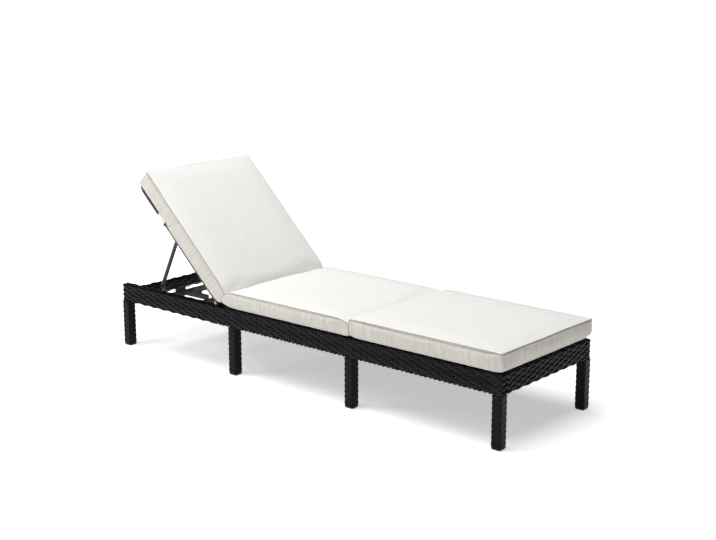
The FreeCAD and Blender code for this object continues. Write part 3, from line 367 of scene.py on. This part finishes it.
BACK_ANGLE = math.radians(43.5)
HINGE = Vector((0, 0.412, 0.282))
tilt = Matrix.Translation(HINGE) @ Matrix.Rotation(BACK_ANGLE, 4, "X")
panel_half, panel_start, panel_end, panel_out = 0.2560, 0.014, 0.614, 0.006
parts = ([], [])
face = lying(-panel_half, panel_half, panel_start, panel_end, panel_out + MAT_RISE, 1)
weave(parts, *face, 30, 26, fine=4, ground=False)
panel = mesh_piece("woven_backrest_panel", *parts, strand)
panel.data.transform(tilt)
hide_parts("backrest_panel")
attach(panel, "backrest")


# Cushions: foam in a zipped cover of pale outdoor cloth, with a puckered strip round the sides
# and thin piping in the seams. The strip is coloured darker than the top as painted shade on the
# sides, with painted shade in its puckers, and the piping is dark as painted shade in the seams.
# Where two cushions meet, the cover rolls over the end. At the hinge the seat's foam thins to a
# blunt nose and the back's rolls over, so that they close up.
def cloth_material(name, low, high, yarns, puckered=False):
    """Outdoor cloth: crossed yarns as bump, and slubs as a faint change of tone, or puckers as
    bump with painted shade in their hollows.
    """
    material, tree, shader = start_material(name, high, 0.9)
    shader.inputs["Sheen Weight"].default_value = 0.15
    shader.inputs["Sheen Roughness"].default_value = 0.6
    coordinates = tree.nodes.new("ShaderNodeTexCoord")
    height = None
    for direction in ("X", "Y", "Z"):
        yarn = tree.nodes.new("ShaderNodeTexWave")
        yarn.bands_direction = direction
        yarn.inputs["Scale"].default_value = yarns
        yarn.inputs["Distortion"].default_value = 0.6
        tree.links.new(coordinates.outputs["Object"], yarn.inputs["Vector"])
        if height is None:
            height = yarn.outputs["Fac"]
            continue
        total = tree.nodes.new("ShaderNodeMath")
        tree.links.new(height, total.inputs[0])
        tree.links.new(yarn.outputs["Fac"], total.inputs[1])
        height = total.outputs["Value"]
    if not puckered:
        emboss(tree, shader, height, 0.10, 0.0003)
        tint(tree, shader, piece_noise(tree, 30.0), low, high)
        return material
    upright = tree.nodes.new("ShaderNodeMapping")
    upright.inputs["Scale"].default_value = (130, 12, 1)
    gathers = tree.nodes.new("ShaderNodeTexNoise")
    gathers.inputs["Scale"].default_value = 1.0
    gathers.inputs["Detail"].default_value = 3.0
    tree.links.new(coordinates.outputs["UV"], upright.inputs["Vector"])
    tree.links.new(upright.outputs["Vector"], gathers.inputs["Vector"])
    emboss(tree, shader, gathers.outputs["Fac"], 0.6, 0.004)
    # The tone follows the puckers' height, as painted shade in their hollows.
    tint(tree, shader, gathers.outputs["Fac"], low, high, 0.3, 0.7)
    return material


pale = (0.805, 0.795, 0.77), (0.825, 0.815, 0.792)
# The strip's tones are darker than the top's, as painted shade on the cushions' sides.
shaded_strip_tones = (0.50, 0.48, 0.43), (0.62, 0.60, 0.55)
# The piping's dark tones are painted shade in the seam grooves.
shaded = (0.27, 0.26, 0.235), (0.34, 0.33, 0.30)
cushion_cloth = cloth_material("cushion_cloth", *pale, 420.0)
shaded_strip_cloth = cloth_material("shaded_strip_cloth", *shaded_strip_tones, 420.0, puckered=True)
piping_cloth = cloth_material("piping_cloth", *shaded, 700.0)


def grid_lines(low, high, near_low, near_high, cell):
    """Lines across a side: fine near the ends, even between."""
    inner_low, inner_high = low + near_low[-1], high - near_high[-1]
    count = max(2, round((inner_high - inner_low) / cell))
    middle = [inner_low + (inner_high - inner_low) * i / count for i in range(1, count)]
    first, last = [low + n for n in near_low], [high - n for n in reversed(near_high)]
    return np.array([low] + first + middle + last + [high])


def roll(a, b, low, high, radii):
    """Rounds the four corners of a rectangle in the plane of a and b. radii: low a and low b,
    low a and high b, high a and low b, high a and high b."""
    a, b = a.copy(), b.copy()
    middle_a, middle_b = (low[0] + high[0]) / 2, (low[1] + high[1]) / 2
    for k, radius in enumerate(radii):
        toward_a, toward_b = (-1, 1)[k // 2], (-1, 1)[k % 2]
        centre_a = (low[0] if toward_a < 0 else high[0]) - toward_a * radius
        centre_b = (low[1] if toward_b < 0 else high[1]) - toward_b * radius
        da, db = (a - centre_a) * toward_a, (b - centre_b) * toward_b
        near = ((a - middle_a) * toward_a > 0) & ((b - middle_b) * toward_b > 0)
        inside = (da > 0) & (db > 0) & near
        most = np.maximum(da, db)
        span = np.where(inside, np.hypot(da, db), 1)
        scale = np.where(inside, most / np.maximum(span, 1e-9), 1)
        a = np.where(inside, centre_a + toward_a * da * scale, a)
        b = np.where(inside, centre_b + toward_b * db * scale, b)
    return a, b


def cushion_shell(half, start, end, thick, ends, side_lower, swell, droop):
    """Closed shell of a box cushion: its points, its quads, which of them are strip, the
    vertices of its seams and those of its flat base."""
    near_side = [0.004, 0.010, 0.018]
    near_roll = [0.003, 0.008, 0.014, 0.021, 0.029]
    near_end = [near_side if kind.seamed else near_roll for kind in ends]
    xs = grid_lines(-half, half, near_side, near_side, 0.014)
    ys = grid_lines(start, end, near_end[0], near_end[1], 0.014)
    zs = grid_lines(0, thick, [0.005, 0.012], [0.010, 0.004], 0.011)
    counts = (len(xs), len(ys), len(zs))
    index, spots = {}, []
    for i in range(counts[0]):
        for j in range(counts[1]):
            for k in range(counts[2]):
                if any(n in (0, count - 1) for n, count in zip((i, j, k), counts)):
                    index[i, j, k] = len(spots)
                    spots.append((i, j, k))
    quads, strips = [], []

    def quad(*keys, strip=False):
        quads.append(tuple(index[key] for key in keys))
        strips.append(int(strip))

    for i in range(counts[0] - 1):
        for j in range(counts[1] - 1):
            quad((i, j, 0), (i, j + 1, 0), (i + 1, j + 1, 0), (i + 1, j, 0))
            top = counts[2] - 1
            quad((i, j, top), (i + 1, j, top), (i + 1, j + 1, top), (i, j + 1, top))
        for k in range(counts[2] - 1):
            quad((i, 0, k), (i + 1, 0, k), (i + 1, 0, k + 1), (i, 0, k + 1), strip=ends[0].seamed)
            far = counts[1] - 1
            keys = (i, far, k), (i, far, k + 1), (i + 1, far, k + 1), (i + 1, far, k)
            quad(*keys, strip=ends[1].seamed)
    for j in range(counts[1] - 1):
        for k in range(counts[2] - 1):
            quad((0, j, k), (0, j, k + 1), (0, j + 1, k + 1), (0, j + 1, k), strip=True)
            far = counts[0] - 1
            quad((far, j, k), (far, j + 1, k), (far, j + 1, k + 1), (far, j, k + 1), strip=True)
    spots = np.array(spots)
    x, y, z = xs[spots[:, 0]], ys[spots[:, 1]], zs[spots[:, 2]]
    # upright corners at a seamed end, then the ends, then the long edges
    side_upper = 0.004
    upright = [0.006 if kind.seamed else 0.003 for kind in ends]
    x, y = roll(x, y, (-half, start), (half, end), upright * 2)
    rolled = [radius for kind in ends for radius in (kind.lower, kind.upper)]
    y, z = roll(y, z, (start, 0), (end, thick), rolled)
    x, z = roll(x, z, (-half, 0), (half, thick), [side_lower, side_upper] * 2)
    for away, kind in zip((y - start, end - y), ends):
        tall = 1 - (1 - kind.left) * np.clip(1 - away / kind.reach, 0, 1) ** kind.sudden
        z = kind.level * thick + (z - kind.level * thick) * tall
    z = z * (1 + swell * (y - start) / (end - start))
    # below its strap the back cushion's side hangs past the tube that it lies on
    strap_edge = 0.40
    at_side = np.clip((np.abs(x) - half + 0.008) / 0.004, 0, 1)
    drop = droop * at_side * np.clip((strap_edge - y) / 0.02, 0, 1)
    z = z - drop * np.clip(1 - z / 0.03, 0, 1)
    # seams: up each side's top edge, round its rolled ends, and across the square ends
    last = [c - 1 for c in counts]
    seams = []
    for i in (0, last[0]):
        line = [(i, j, last[2]) for j in range(counts[1])]
        if not ends[0].seamed:
            line = [(i, 0, k) for k in range(last[2])] + line
        if not ends[1].seamed:
            line += [(i, last[1], k) for k in range(last[2] - 1, -1, -1)]
        seams.append([index[key] for key in line])
    for j, kind in zip((0, last[1]), ends):
        if kind.seamed:
            seams.append([index[i, j, last[2]] for i in range(counts[0])])
    flat_base = [n for n, spot in enumerate(spots) if spot[2] == 0]
    return np.stack([x, y, z], -1), quads, strips, seams, flat_base


def inflate(piece, held, pressure, most):
    """Lets the filling push the cover out in a cloth simulation, by most at the furthest."""
    group = piece.vertex_groups.new(name="held")
    for vertex, weight in held:
        group.add([vertex], weight, "REPLACE")
    cloth = piece.modifiers.new("cloth", "CLOTH")
    settings = cloth.settings
    settings.quality = 6
    settings.mass = 0.25
    settings.tension_stiffness = 18
    settings.compression_stiffness = 18
    settings.shear_stiffness = 8
    settings.bending_stiffness = 0.8
    settings.use_pressure = True
    settings.uniform_pressure_force = pressure
    settings.vertex_group_mass = "held"
    settings.pin_stiffness = 1.0
    settings.effector_weights.gravity = 0
    cloth.point_cache.frame_start = 1
    cloth.point_cache.frame_end = 20
    scene = bpy.context.scene
    for number in range(1, 21):
        scene.frame_set(number)
    moved = piece.evaluated_get(bpy.context.evaluated_depsgraph_get()).to_mesh()
    after = np.array([v.co for v in moved.vertices])
    piece.to_mesh_clear()
    piece.modifiers.remove(cloth)
    scene.frame_set(1)
    before = np.array([v.co for v in piece.data.vertices])
    shift = after - before
    size = np.linalg.norm(shift, axis=1, keepdims=True)
    shift *= np.minimum(1, most / np.maximum(size, 1e-9))
    # the corners are sewn tight and fill out less
    middle, reach = (before.max(0) + before.min(0)) / 2, (before.max(0) - before.min(0)) / 2
    off_corner = np.linalg.norm((reach - np.abs(before - middle))[:, :2], axis=1, keepdims=True)
    shift *= np.clip(off_corner / 0.04, 0.4, 1)
    piece.data.vertices.foreach_set("co", (before + shift).ravel())
    piece.data.update()


def crease(piece, thick, folds, seed):
    """Soft waves on the top and puckers down the sides, as in a cover that has been sat on."""
    piece.data.update()
    normals = [v.normal.copy() for v in piece.data.vertices]
    for vertex, normal in zip(piece.data.vertices, normals):
        x, y, z = vertex.co
        side = max(0.0, min(1.0, (abs(normal.x) - 0.35) / 0.4))
        front = max(0.0, min(1.0, (abs(normal.y) - 0.35) / 0.4))
        top = max(0.0, min(1.0, (normal.z - 0.4) / 0.4))
        amount = 0.0
        if top:
            wave = noise.noise((x * 5 + seed, y * 4, seed)) * 0.0022
            wave += noise.noise((x * 14 + seed, y * 11, seed + 3)) * 0.0008
            amount += wave * top
        for share, along in ((side, y), (front, x)):
            if share:
                fold = noise.noise((along * 42 + seed, z * 5, seed + 7))
                fold += 0.6 * noise.noise((along * 95 + z * 20, z * 9, seed + 11))
                middle = 1 - abs(z / thick * 2 - 1) ** 2
                amount += fold * folds * share * (0.35 + 0.65 * middle)
        vertex.co = vertex.co + normal * amount


def tube_along(points, radius):
    """Vertices and quads of a thin round tube through points."""
    points = np.array(points)
    vertices, faces = [], []
    sides = 8
    up = np.array((0.0, 0.0, 1.0))
    for n in range(len(points)):
        way = points[min(n + 1, len(points) - 1)] - points[max(n - 1, 0)]
        way = way / np.linalg.norm(way)
        across = np.cross(way, up)
        if np.linalg.norm(across) < 0.2:
            across = np.cross(way, (1.0, 0.0, 0.0))
        across = across / np.linalg.norm(across)
        other = np.cross(way, across)
        for s in range(sides):
            angle = 2 * math.pi * s / sides
            outward = across * math.cos(angle) + other * math.sin(angle)
            vertices.append(points[n] + radius * outward)
    for n in range(len(points) - 1):
        for s in range(sides):
            a, b = n * sides + s, n * sides + (s + 1) % sides
            faces.append((a, b, b + sides, a + sides))
    faces.append(tuple(range(sides))[::-1])
    faces.append(tuple(range((len(points) - 1) * sides, len(points) * sides)))
    return vertices, faces


def make_cushion(
    node, half, start, end, thick, ends, folds, seed, place, body,
    under=0.030, swell=0.0, droop=0.0,
):
    """One cushion with its piping, made lying flat and then put in place. under rounds the
    lower edges of its sides, swell is the height that it gains toward its far end, and droop
    is how far its sides hang down."""
    filled = 0.004
    shell = cushion_shell(half, start, end, thick - filled, ends, under, swell, droop)
    points, quads, strips, seams, flat_base = shell
    piece = mesh_piece(f"soft_{node}", points, quads, cushion_cloth)
    piece.data.materials.append(shaded_strip_cloth)
    piece.data.polygons.foreach_set("material_index", strips)
    around = piece.data.uv_layers.new(name="around")
    for loop in piece.data.loops:
        x, y, z = points[loop.vertex_index]
        around.data[loop.index].uv = (x + y, z)
    held = {vertex: 1.0 for vertex in flat_base}
    for seam in seams:
        held.update({vertex: 1.0 for vertex in seam})
    inflate(piece, held.items(), pressure=4.0, most=0.008)
    crease(piece, thick, folds, seed)
    smooth = piece.modifiers.new("smooth", "SUBSURF")
    smooth.levels = 1
    smoothed = piece.evaluated_get(bpy.context.evaluated_depsgraph_get())
    finished = bpy.data.meshes.new_from_object(smoothed)
    piece.modifiers.remove(smooth)
    piece.data = finished
    finished.polygons.foreach_set("use_smooth", [True] * len(finished.polygons))
    parts = ([], [])
    for seam in seams:
        line = []
        for vertex in seam:
            spot = finished.vertices[vertex]
            line.append(np.array(spot.co + spot.normal * 0.0006))
        first = len(parts[0])
        vertices, faces = tube_along(line, radius=0.0010)
        parts[0].extend(vertices)
        parts[1].extend(tuple(i + first for i in face) for face in faces)
    piping = mesh_piece(f"piping_{node}", *parts, piping_cloth)
    for item in (piece, piping):
        item.data.transform(place)
        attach(item, body)
    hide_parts(node)


# The kinds of end: whether the seam crosses it, its lower and upper radius, how far the
# cushion thins out there, the share of its height left, the level that it thins towards, and
# how suddenly.
End = namedtuple("End", "seamed lower upper reach left level sudden")
SEAMED = End(True, 0.030, 0.004, reach=0.001, left=1.0, level=0.0, sudden=1.0)
BUTTED = End(False, 0.025, 0.015, reach=0.001, left=1.0, level=0.0, sudden=1.0)
EASED = End(False, 0.025, 0.010, reach=0.065, left=0.82, level=0.0, sudden=1.6)
NOSE = End(False, 0.012, 0.014, reach=0.066, left=0.36, level=0.33, sudden=2.6)
HEAD = End(True, 0.014, 0.004, reach=0.001, left=1.0, level=0.0, sudden=1.0)
HEEL = End(False, 0.022, 0.018, reach=0.052, left=0.62, level=0.42, sudden=2.0)
rest = Matrix.Translation((0, 0, 0.2703))
make_cushion(
    "foot_cushion", half=0.293, start=-0.982, end=-0.3032, thick=0.083, ends=(SEAMED, BUTTED),
    folds=0.0011, seed=3.0, place=rest, body="frame",
)
make_cushion(
    "seat_cushion", half=0.292, start=-0.3028, end=0.366, thick=0.077, ends=(EASED, NOSE),
    folds=0.0011, seed=17.0, place=rest, body="frame",
)
on_back = tilt @ Matrix.Translation((0.010, 0, 0.0135))
make_cushion(
    "back_cushion", half=0.295, start=-0.020, end=0.623, thick=0.073, ends=(HEEL, HEAD),
    folds=0.0022, seed=29.0, place=on_back, body="backrest",
    under=0.010, swell=0.13, droop=0.009,
)

# Straps: flat webbing sewn to the back cushion and looped loosely round the side tubes. When
# the back lies flat, the side rails press the loops up.
webbing = cloth_material("strap_webbing", (0.72, 0.71, 0.68), (0.82, 0.81, 0.79), 520.0)
for side, sign in (("left", -1), ("right", 1)):
    inner, outer, tall, wide, middle = 0.0093, 0.0117, 0.0132, 0.050, 0.435
    tube, slack = sign * 0.268, 0.0045
    loop = []
    for radius in (outer, inner):
        turn = [(radius * math.cos(a), -radius * math.sin(a)) for a in np.linspace(0, math.pi, 17)]
        up = [(-radius, tall / 2), (-radius, tall)]
        loop.append([(radius, tall), (radius, tall / 2)] + turn + up)
    outline = loop[0] + loop[1][::-1]
    stations = np.linspace(-wide / 2, wide / 2, 9)
    vertices, faces = [], []
    for station in stations:
        for x, z in outline:
            ripple = 0.024 * noise.noise((station * 90, x * 160, z * 160 + sign))
            vertices.append((tube + x * (1 + ripple), middle + station, z - slack * (z < 0)))
    ring = len(outline)
    for n in range(len(stations) - 1):
        for k in range(ring):
            a, b = n * ring + k, n * ring + (k + 1) % ring
            faces.append((a, a + ring, b + ring, b))
    half_ring = ring // 2
    for first in (0, (len(stations) - 1) * ring):
        for k in range(half_ring - 1):
            quad = (first + k, first + k + 1, first + ring - 2 - k, first + ring - 1 - k)
            faces.append(quad if first == 0 else quad[::-1])
    strap = mesh_piece(f"webbing_strap_{side}", vertices, faces, webbing)
    strap.data.transform(tilt)
    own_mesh(strap)
    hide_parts(f"cushion_strap_{side}")
    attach(strap, "backrest")

# The floor is pale and level, and glows: near the lounger the glow is painted light that lifts its
# shadow and lights the cushions from below, and further out it rises so the floor runs into the
# plain white beyond.
# The light comes softly from above, with a weak lamp beside the head end.
paper, tree, shader = start_material("pale_floor", (0.84, 0.84, 0.84), 0.9)
tint(tree, shader, piece_noise(tree, 3.0), (0.835, 0.835, 0.835), (0.845, 0.845, 0.845))
shader.inputs["Emission Color"].default_value = (1, 1, 1, 1)
distance = tree.nodes.new("ShaderNodeVectorMath")
distance.operation = "LENGTH"
spot = tree.nodes.new("ShaderNodeTexCoord")
tree.links.new(spot.outputs["Object"], distance.inputs[0])
# Painted light: the glow is weakest near the lounger, where it lifts the shadow, and full further
# out.
fade = tree.nodes.new("ShaderNodeMapRange")
fade.inputs["From Min"].default_value = 1.3
fade.inputs["From Max"].default_value = 3.0
fade.inputs["To Min"].default_value = 0.51
fade.inputs["To Max"].default_value = 1.0
tree.links.new(distance.outputs["Value"], fade.inputs["Value"])
tree.links.new(fade.outputs["Result"], shader.inputs["Emission Strength"])
far = 90
corners = [(-far, -far, 0), (far, -far, 0), (far, far, 0), (-far, far, 0)]
floor = mesh_piece("floor", corners, [(0, 1, 2, 3)], paper)

world = bpy.data.worlds.new("soft_light")
bpy.context.scene.world = world
world.use_nodes = True
tree = world.node_tree
fill = tree.nodes["Background"]
fill.inputs["Color"].default_value = (1, 1, 1, 1)
fill.inputs["Strength"].default_value = 0.06
white = tree.nodes.new("ShaderNodeBackground")
white.inputs["Strength"].default_value = 1.0
path = tree.nodes.new("ShaderNodeLightPath")
choose = tree.nodes.new("ShaderNodeMixShader")
tree.links.new(path.outputs["Is Camera Ray"], choose.inputs["Fac"])
tree.links.new(fill.outputs["Background"], choose.inputs[1])
tree.links.new(white.outputs["Background"], choose.inputs[2])
tree.links.new(choose.outputs["Shader"], tree.nodes["World Output"].inputs["Surface"])

for name, place, size, power in (
    ("overhead", (-1.1, 0.5, 5.5), 5.2, 388.0),
    ("head_side", (-2.3, 1.9, 1.9), 1.4, 22.0),
):
    lamp = bpy.data.lights.new(name, "AREA")
    lamp.shape = "SQUARE"
    lamp.size = size
    lamp.energy = power
    holder = bpy.data.objects.new(name, lamp)
    holder.location = place
    aim = Vector((0, 0, 0.2)) - Vector(place)
    holder.rotation_euler = aim.to_track_quat("-Z", "Y").to_euler()
    bpy.context.collection.objects.link(holder)

# Camera: solved from the straight edges of the rails, legs and cushions.
lens = bpy.data.cameras.new("camera")
lens.lens = 66.90
lens.sensor_width = 36.0
camera = bpy.data.objects.new("camera", lens)
camera.location = (-3.8368, -3.3735, 1.6598)
camera.rotation_euler = (math.radians(90 - 13.533), 0, math.radians(-49.532))
bpy.context.collection.objects.link(camera)
bpy.context.scene.camera = camera
bpy.context.scene.view_settings.view_transform = "Standard"
